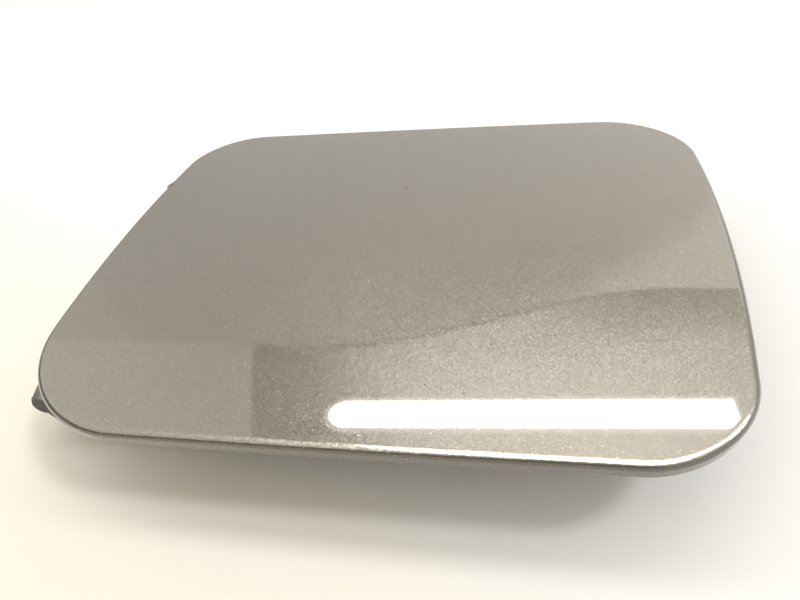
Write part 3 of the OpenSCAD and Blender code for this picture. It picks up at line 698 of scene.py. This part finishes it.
def flat_skin(skin):
    """The skin laid flat: rings of points about the door's middle, each point's drop, and the faces."""
    # Two rings close to the roll keep its shading off the flat face, in roll radii from it
    close_rings = (0.7, 0.12)
    outline = Outline(skin)
    scales = np.linspace(0, 1, skin.face_rings + 1)[1:-1]
    edge = outline.points + outline.inward * skin.roll
    rings = [edge * s for s in scales] + [edge + outline.inward * skin.roll * d for d in close_rings]
    drops = [np.zeros(len(edge)) for ring in rings]
    nib = nib_shape(skin, outline)
    for inset, drop in skin_section(skin):
        outer = 0 < drop < skin.nib_drop and inset < skin.roll
        depth = math.sin(math.pi * min(drop / skin.nib_drop, 1))
        out = skin.nib_out * nib * depth if outer else 0 * nib
        rings.append(outline.points + outline.inward * (inset - out)[:, None])
        drops.append(np.full(len(edge), drop))
    rings += [edge * s for s in scales[::-1]]
    drops += [np.full(len(edge), skin.sheet) for s in scales]
    flat = np.vstack([[(0, 0)], *rings, [(0, 0)]])
    drop = np.concatenate([[0], *drops, [skin.sheet]])
    return flat, drop, ring_faces(len(edge), len(rings))


def crown_tree(material):
    """Lays the flat skin on the crown: each point falls by the crown and by its own drop."""
    tree, graph, given = piece_tree("crowned_skin", {
        "Crown Radius": "Float", "Face Height": "Float", "Middle": "Float",
    })
    drop = graph.add("GeometryNodeInputNamedAttribute", {"data_type": "FLOAT"}, {"Name": "drop"})
    x, y = graph.add("GeometryNodeInputPosition").parts()[:2]
    level = given["Face Height"] - given["Crown Radius"]
    height = level + ((given["Crown Radius"] - drop) ** 2.0 - y * y) ** 0.5
    place = graph.add("ShaderNodeCombineXYZ", None, {"X": x + given["Middle"], "Y": y, "Z": height})
    crowned = graph.add("GeometryNodeSetPosition", None, {"Geometry": given["Geometry"], "Position": place})
    close_tree(graph, crowned, material)
    return tree


def spring_tree(material):
    """One wire: a foot, a coil about an axis along Y and a straight leg."""
    tree, graph, given = piece_tree("torsion_wire", {
        "Coil Radius": "Float", "Wire Radius": "Float", "Sweep": "Float", "Steps": "Int",
        "Axis X": "Float", "Axis Z": "Float", "Coil Start": "Float", "Coil End": "Float",
        "Foot Z": "Float", "Leg X": "Float", "Leg Z": "Float",
    })
    steps = given["Steps"]
    line = graph.add("GeometryNodeMeshLine", None, {"Count": steps + 4})
    index = graph.add("GeometryNodeInputIndex")
    t = ((index - 2) / steps).math("MAXIMUM", 0).math("MINIMUM", 1)
    turn = math.pi - given["Sweep"] * t
    leg = (index - steps - 2).math("MAXIMUM", 0)
    foot = (1 - index / 2).math("MAXIMUM", 0)
    coil_x = given["Axis X"] + given["Coil Radius"] * turn.math("COSINE")
    coil_z = given["Axis Z"] + given["Coil Radius"] * turn.math("SINE")
    place = graph.add("ShaderNodeCombineXYZ", None, {
        "X": coil_x + (given["Leg X"] - coil_x) * leg,
        "Y": given["Coil Start"] + (given["Coil End"] - given["Coil Start"]) * t,
        "Z": coil_z + (given["Leg Z"] - coil_z) * leg + (given["Foot Z"] - given["Axis Z"]) * foot,
    })
    bent = graph.add("GeometryNodeSetPosition", None, {"Geometry": line, "Position": place})
    curve = graph.add("GeometryNodeMeshToCurve", None, {"Mesh": bent})
    circle = graph.add("GeometryNodeCurvePrimitiveCircle", None, {
        "Resolution": 16, "Radius": given["Wire Radius"],
    })
    tube = graph.add("GeometryNodeCurveToMesh", None, {
        "Curve": curve, "Profile Curve": circle, "Fill Caps": True,
    })
    smooth = graph.add("GeometryNodeSetShadeSmooth", None, {"Geometry": tube})
    close_tree(graph, smooth, material)
    return tree


def repeat_tree(material):
    """Copies of one piece on a grid of columns and rows about a middle point."""
    tree, graph, given = piece_tree("screw_grid", {
        "Columns": "Int", "Rows": "Int", "Column Gap": "Float", "Row Gap": "Float", "Middle": "Vector",
    })
    columns = given["Columns"]
    points = graph.add("GeometryNodePoints", None, {"Count": columns * given["Rows"]})
    index = graph.add("GeometryNodeInputIndex")
    column = index.math("MODULO", columns)
    row = (index / columns).math("FLOOR")
    offset = graph.add("ShaderNodeCombineXYZ", None, {
        "X": (column - (columns - 1) * 0.5) * given["Column Gap"],
        "Y": (row - (given["Rows"] - 1) * 0.5) * given["Row Gap"],
    })
    place = graph.vector("ADD", offset, given["Middle"])
    placed = graph.add("GeometryNodeSetPosition", None, {"Geometry": points, "Position": place})
    copies = graph.add("GeometryNodeInstanceOnPoints", None, {
        "Points": placed, "Instance": given["Geometry"],
    })
    close_tree(graph, copies, material)
    return tree


def screw_rows(screw, flats, flange, head, shank, length):
    """The rings of a flanged hexagon screw, head down: radius, height and how far it is a hexagon."""
    across = flats / 2
    chamfer = head * 0.12
    skirt = head * 0.72
    return [
        (0, chamfer * 0.9, 0),
        (across * 0.52, chamfer * 0.9, 0),
        (across * 0.60, 0, 0),
        (across * 0.93, 0, 0),
        (across, chamfer, 0.55),
        (across, chamfer * 1.6, 1),
        (across, skirt, 1),
        (across * 1.02, skirt + 0.1 * MM, 0.4),
        (flange * 0.95, head - screw.bevel, 0),
        (flange, head - screw.rim, 0),
        (flange, head, 0),
        (shank, head, 0),
        (shank, length - screw.bevel, 0),
        (shank - screw.bevel, length, 0),
        (0, length, 0),
    ]


def screw_form(name, rows, sides=48):
    """A screw from its rings, standing on its head at the origin."""
    angles = np.arange(sides) * 2 * math.pi / sides
    flat_turn = np.mod(angles + math.pi / 6, math.pi / 3) - math.pi / 6
    hexed = 1 / np.cos(flat_turn)
    points = [(0, 0, rows[0][1])]
    for radius, z, hex_share in rows[1:-1]:
        reach = radius * (1 + (hexed - 1) * hex_share)
        points += [(r * math.cos(a), r * math.sin(a), z) for r, a in zip(reach, angles)]
    points.append((0, 0, rows[-1][1]))
    # The rings rise here, so each face turns the other way round
    faces = [(face[0], *face[:0:-1]) for face in ring_faces(sides, len(rows) - 2)]
    return mesh_object(name, points, faces, 28)


def give(material, *nodes):
    """Puts a material on CAD nodes."""
    for name in nodes:
        mesh = frame["nodes"][name].data
        mesh.materials.clear()
        mesh.materials.append(material)


class FUELDOOR_OT_skin(bpy.types.Operator):
    """Make the painted skin: rolled edge, hem and crown"""

    bl_idname = "fuel_door.skin"
    bl_label = "Painted Skin"

    def execute(self, context):
        skin = context.scene.fuel_door_skin
        middle = face_middle(skin)
        flat, drop, faces = flat_skin(skin)
        points = np.column_stack([flat, np.zeros(len(flat))])
        piece = mesh_object("painted_skin", points, faces)
        attribute = piece.data.attributes.new("drop", "FLOAT", "POINT")
        attribute.data.foreach_set("value", drop.astype(np.float32))
        material = paint_material(context.scene.fuel_door_finish)
        apply_tree(piece, crown_tree(material), {
            "Crown Radius": skin.crown,
            "Face Height": middle.z,
            "Middle": middle.x,
        })
        piece.data.set_sharp_from_angle(angle=math.radians(50))
        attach(piece, "door")
        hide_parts("outer_skin")
        return {"FINISHED"}


class FUELDOOR_OT_spring(bpy.types.Operator):
    """Make the torsion spring from one round wire"""

    bl_idname = "fuel_door.spring"
    bl_label = "Torsion Spring"

    def execute(self, context):
        spring = context.scene.fuel_door_spring
        finish = context.scene.fuel_door_finish
        low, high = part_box("torsion_spring")
        axis = Vector(frame["joints"][0]["pos_m"])
        coil = axis.x - low.x - spring.wire
        leg = (high.x - spring.wire * 0.5, high.z - spring.wire)
        leave = math.pi / 2 + math.atan2(leg[1] - axis.z - coil, leg[0] - axis.x)
        sweep = math.pi - leave + 2 * math.pi * spring.turns
        pitch = 2 * spring.wire + spring.gap
        material = turned_material("oiled_spring_steel", finish.spring_steel, 0.26)
        piece = mesh_object("spring_wire", [(0, 0, 0)], [])
        apply_tree(piece, spring_tree(material), {
            "Coil Radius": coil,
            "Wire Radius": spring.wire,
            "Sweep": sweep,
            "Steps": spring.steps,
            "Axis X": axis.x,
            "Axis Z": axis.z,
            "Coil Start": spring.start,
            "Coil End": spring.start + pitch * sweep / (2 * math.pi),
            "Foot Z": spring.foot,
            "Leg X": leg[0],
            "Leg Z": leg[1],
        })
        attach(piece, "bracket")
        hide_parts("torsion_spring")
        return {"FINISHED"}


class FUELDOOR_OT_screws(bpy.types.Operator):
    """Make the flanged screws of the hinge arm and the striker"""

    bl_idname = "fuel_door.screws"
    bl_label = "Screws"

    def execute(self, context):
        screw = context.scene.fuel_door_screws
        finish = context.scene.fuel_door_finish
        material = plated_material("black_zinc", finish.black_zinc, finish.black_haze, 0.30, finish)
        tree = repeat_tree(material)
        for node, columns, form_sizes in (("arm_screws", 2, screw.m5), ("striker_screws", 1, screw.m4)):
            low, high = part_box(node)
            flange = form_sizes[1]
            form = screw_form(node + "_detailed", screw_rows(screw, *form_sizes, high.z - low.z))
            apply_tree(form, tree, {
                "Columns": columns,
                "Rows": 2,
                "Column Gap": high.x - low.x - 2 * flange,
                "Row Gap": high.y - low.y - 2 * flange,
                "Middle": ((low.x + high.x) / 2, (low.y + high.y) / 2, low.z),
            })
            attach(form, "door")
            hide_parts(node)
        return {"FINISHED"}


class FUELDOOR_OT_finishes(bpy.types.Operator):
    """Give the frame's own pieces their paint, plastic, rubber and metal"""

    bl_idname = "fuel_door.finishes"
    bl_label = "Finishes"

    def execute(self, context):
        finish = context.scene.fuel_door_finish
        give(inner_paint_material(finish), "inner_panel")
        give(foam_material(finish), "flutter_pads")
        arm = plastic_material("arm_plastic", finish, 0.85)
        give(arm, "hinge_arm", "latch_striker", "cap_holder", "cap_holder_rivets")
        give(plastic_material("bracket_plastic", finish, 0.5), "hinge_bracket")
        zinc = plated_material("bright_zinc", finish.zinc, finish.zinc_haze, 0.24, finish)
        give(zinc, "weld_nuts", "bolt_sleeves", "striker_nuts")
        give(turned_material("ground_steel", finish.steel, 0.20), "hinge_pin")
        give(turned_material("clip_spring_steel", finish.spring_steel, 0.30), "pin_clip")
        give(acetal_material(finish), "bush_near", "bush_far", "spring_sleeve")
        give(rubber_material(finish), "bump_stops", "open_buffer")
        return {"FINISHED"}


def table_material(studio):
    """A pale matt table with painted light: warmer light painted in front and whiter, brighter light behind,
    and plain white far from the door.
    """
    material, graph, place = new_material("pale_table")
    x, y = place.parts()[:2]
    # Painted light: the step from the warm front colour to the whiter back colour paints the light on the
    # table, not a colour of its own
    back = (y + x * studio.painted_light_slant).between(*studio.painted_light_step)
    cloud = graph.noise(place, 150 * MM) * 0.04
    cloth = graph.add("ShaderNodeBsdfPrincipled", None, {
        "Base Color": graph.mix(back + cloud, studio.table_front, studio.table_back),
        "Roughness": 0.75,
        "Specular IOR Level": 0.25,
    })
    far = graph.vector("LENGTH", place, (0, 0, 0), "Value").between(*studio.table_fade)
    seen = graph.add("ShaderNodeLightPath", None, None, "Is Camera Ray")
    white = graph.glow((1, 1, 1), 1.0)
    show(graph, graph.add("ShaderNodeMixShader", None, {0: far * seen, 1: cloth, 2: white}))
    return material


def far_tone(ceiling, x, y):
    """The far part, in metres: it gains to the right, with a pale wedge, a valley and a left rim."""
    across = (x - 0.22) * 0.771 - (y - 1.0) * 0.636
    wedge = across.between(-0.09, 0.06)
    valley = across.between(-0.50, -0.20) * (1 - wedge) * (1 - y.between(0.9, 1.5, False))
    rim = 1 - (x + (y - 0.80) * 0.95).between(-0.95, -0.85)
    tone = x.between(-1.2, 0.7, False) * ceiling.far_rise + ceiling.far
    tone = tone + wedge * ceiling.wedge + rim * ceiling.rim - valley * ceiling.valley
    return tone - y.between(1.2, 2.3, False) * ceiling.far_fall


def near_tone(ceiling, x, y, depth):
    """The near part, in metres: a pale left zone, and a right one shaded at its left and at the line."""
    left = 1 - (x + y * 0.33).between(-0.308, -0.286)
    left_tone = (1 - y.between(0.45, 0.78, False)) * ceiling.left_rise + ceiling.left
    lit = (x + y * 0.25).between(-0.24, 0.06)
    side = x.between(0.02, 0.38)
    shaded = side * (1 - depth.between(0.05, 0.27))
    glow = side * depth.between(0.38, 0.55) * ceiling.glow
    right_tone = lit * (1 - shaded) * (glow + ceiling.right) + ceiling.right_least
    return left * left_tone + (1 - left) * right_tone


def ceiling_material(ceiling):
    """What the face mirrors: a soft far ceiling and a near one, with a dark seam where they meet."""
    material, graph, place = new_material("studio_ceiling")
    x, y = place.parts()[:2]
    line = x.between(*ceiling.bend) * ceiling.bend_back + ceiling.bend_y
    beyond = y - line
    near = 1 - beyond.between(-ceiling.bend_soft, ceiling.bend_soft)
    seam = (1 - beyond.between(0.0, ceiling.seam_half)) * beyond.between(-ceiling.seam_half, 0.0)
    seam = seam * x.between(-0.42, -0.2) * ceiling.seam
    behind = x.between(-0.2, -0.1) * (1 - y.between(-1.25, -1.15))
    tone = near * near_tone(ceiling, x, y, line - y) + (1 - near) * far_tone(ceiling, x, y) - seam
    tone = (tone * (1 - behind * ceiling.behind)).math("MAXIMUM", 0.0)
    show(graph, graph.glow(graph.scaled(tuple(ceiling.tint), tone), 1.0))
    return material


def lamp_material(name, tone, strength):
    """A plain light."""
    material, graph, place = new_material(name)
    show(graph, graph.glow(tone, strength))
    return material


def plain_piece(name, points, faces, material):
    """A studio piece with one material."""
    piece = mesh_object(name, points, faces)
    piece.data.materials.append(material)
    return piece


def corners(least_x, least_y, most_x, most_y, z):
    """The corners of a level rectangle, turning left as seen from above."""
    return [(least_x, least_y, z), (most_x, least_y, z), (most_x, most_y, z), (least_x, most_y, z)]


def capsule(run, radius, z):
    """The points and the one face, looking down, of a long shape with a round left end."""
    start, end = Vector((*run[:2], z)), Vector((*run[2:], z))
    along = (end - start).normalized()
    across = Vector((-along.y, along.x, 0))
    points = [end - across * radius, end + across * radius]
    steps = 16
    for k in range(steps + 1):
        a = -math.pi / 2 + math.pi * k / steps
        points.append(start - (along * math.cos(a) + across * math.sin(a)) * radius)
    return points, [tuple(range(len(points)))[::-1]]


def mirrored_room(room, ceiling):
    """The pieces that only glossy surfaces see: they give the clear coat something to mirror."""
    z = room.height
    low = z - room.hang
    least_x, least_y, most_x, most_y = room.plan
    wall_line = [(most_x, least_y), (least_x, least_y), (least_x, most_y)]
    pieces = [
        plain_piece("ceiling", corners(*room.plan, z), [(3, 2, 1, 0)], ceiling_material(ceiling)),
        plain_piece("tube_lamp", *capsule(room.tube_run, room.tube_radius, z - room.tube_hang),
                    lamp_material("tube_glow", room.lamp, room.tube)),
        plain_piece("tube_halo", *capsule(room.halo_run, room.halo_radius, low),
                    lamp_material("tube_halo", room.lamp, room.tube * room.halo)),
        plain_piece("overhead", corners(*room.panel, low) + corners(*room.wing, low),
                    [(3, 2, 1, 0), (7, 6, 5, 4)],
                    lamp_material("overhead_glow", room.lamp, room.overhead)),
        plain_piece("dark_room", [(x, y, level) for level in (0, z) for x, y in wall_line],
                    [(0, 1, 4, 3), (1, 2, 5, 4)],
                    lamp_material("dark_room", room.lamp, room.walls)),
    ]
    for piece in pieces:
        piece.visible_camera = False
        piece.visible_diffuse = False
        piece.visible_shadow = False
        piece.visible_transmission = False
    return pieces


def sun_lamp(name, energy, apparent, way):
    """A far lamp that shines from that direction."""
    data = bpy.data.lights.new(name, "SUN")
    data.energy = energy
    data.angle = apparent
    lamp = linked(name, data)
    lamp.rotation_euler = Vector(way).to_track_quat("Z", "Y").to_euler()
    return lamp


def hang_lamps(studio):
    """The key lamp, and two lamps that glossy surfaces don't see."""
    sun_lamp("key_lamp", studio.key, studio.key_angle, studio.key_way)
    fill = sun_lamp("fill_lamp", studio.key * studio.fill, studio.fill_angle, studio.fill_way)
    fill.visible_glossy = False
    strip = bpy.data.lights.new("lamp_row", "AREA")
    strip.shape = "RECTANGLE"
    strip.size, strip.size_y = studio.row_size
    strip.energy = studio.row
    row = linked("lamp_row", strip)
    row.location = studio.row_place
    row.visible_glossy = False
    row.visible_camera = False


def studio_world(studio):
    """Dim warm light for diffuse surfaces, and plain white for what the camera and glossy ones see."""
    world = bpy.data.worlds.new("studio")
    world.use_nodes = True
    graph = Graph(world.node_tree)
    path = graph.add("ShaderNodeLightPath").socket.node
    seen = Value(graph, path.outputs["Is Camera Ray"])
    for other in ("Is Glossy Ray", "Is Transmission Ray"):
        seen = seen.math("MAXIMUM", Value(graph, path.outputs[other]))
    dim = graph.add("ShaderNodeBackground", None, {"Color": rgba(studio.air), "Strength": studio.ambient})
    white = graph.add("ShaderNodeBackground", None, {"Color": (1, 1, 1, 1), "Strength": 1.0})
    sky = graph.add("ShaderNodeMixShader", None, {0: seen, 1: dim, 2: white})
    graph.add("ShaderNodeOutputWorld", None, {"Surface": sky})
    return world


def photo_camera(studio, middle):
    """The camera of the photo, placed from the middle of the door's face."""
    lens = bpy.data.cameras.new("camera")
    lens.sensor_width = 36
    lens.lens = studio.lens
    lens.clip_start = 10 * MM
    camera = linked("camera", lens)
    place = middle + Vector(studio.camera)
    sight = middle + Vector(studio.aim) - place
    turned = sight.to_track_quat("-Z", "Y").to_matrix() @ Matrix.Rotation(studio.roll, 3, "Z")
    camera.matrix_world = Matrix.Translation(place) @ turned.to_4x4()
    return camera


class FUELDOOR_OT_studio(bpy.types.Operator):
    """Set the table, lamps, backdrop and camera"""

    bl_idname = "fuel_door.studio"
    bl_label = "Studio"

    def execute(self, context):
        scene = context.scene
        studio = scene.fuel_door_studio
        half = studio.table_half
        table = plain_piece("table", corners(-half, -half, half, half, 0), [(0, 1, 2, 3)],
                            table_material(studio))
        room = mirrored_room(scene.fuel_door_room, scene.fuel_door_ceiling)
        hang_lamps(studio)
        scene.world = studio_world(studio)
        scene.view_settings.view_transform = "Standard"
        scene.camera = photo_camera(studio, face_middle(scene.fuel_door_skin))
        return {"FINISHED"}


class FUELDOOR_PT_panel(bpy.types.Panel):
    """The fuel door's pieces and studio"""

    bl_idname = "FUELDOOR_PT_panel"
    bl_label = "Fuel Door"
    bl_space_type = "VIEW_3D"
    bl_region_type = "UI"
    bl_category = "Fuel Door"

    def draw(self, context):
        column = self.layout.column(align=True)
        for operator in OPERATORS:
            column.operator(operator.bl_idname)
        for name in SETTINGS:
            box = self.layout.box()
            group = getattr(context.scene, name)
            for key in group.__annotations__:
                box.prop(group, key)


SETTINGS = {
    "fuel_door_skin": SkinSettings,
    "fuel_door_spring": SpringSettings,
    "fuel_door_screws": ScrewSettings,
    "fuel_door_finish": FinishSettings,
    "fuel_door_studio": StudioSettings,
    "fuel_door_room": RoomSettings,
    "fuel_door_ceiling": CeilingSettings,
}
OPERATORS = (
    FUELDOOR_OT_studio,
    FUELDOOR_OT_skin,
    FUELDOOR_OT_spring,
    FUELDOOR_OT_screws,
    FUELDOOR_OT_finishes,
)


def register():
    for kind in (*SETTINGS.values(), *OPERATORS, FUELDOOR_PT_panel):
        bpy.utils.register_class(kind)
    for name, kind in SETTINGS.items():
        setattr(bpy.types.Scene, name, PointerProperty(type=kind))


def unregister():
    for name in SETTINGS:
        delattr(bpy.types.Scene, name)
    for kind in (FUELDOOR_PT_panel, *reversed(OPERATORS), *reversed(SETTINGS.values())):
        bpy.utils.unregister_class(kind)


def main():
    register()
    bpy.ops.fuel_door.studio()
    bpy.ops.fuel_door.skin()
    bpy.ops.fuel_door.spring()
    bpy.ops.fuel_door.screws()
    bpy.ops.fuel_door.finishes()


if __name__ == "__main__":
    main()
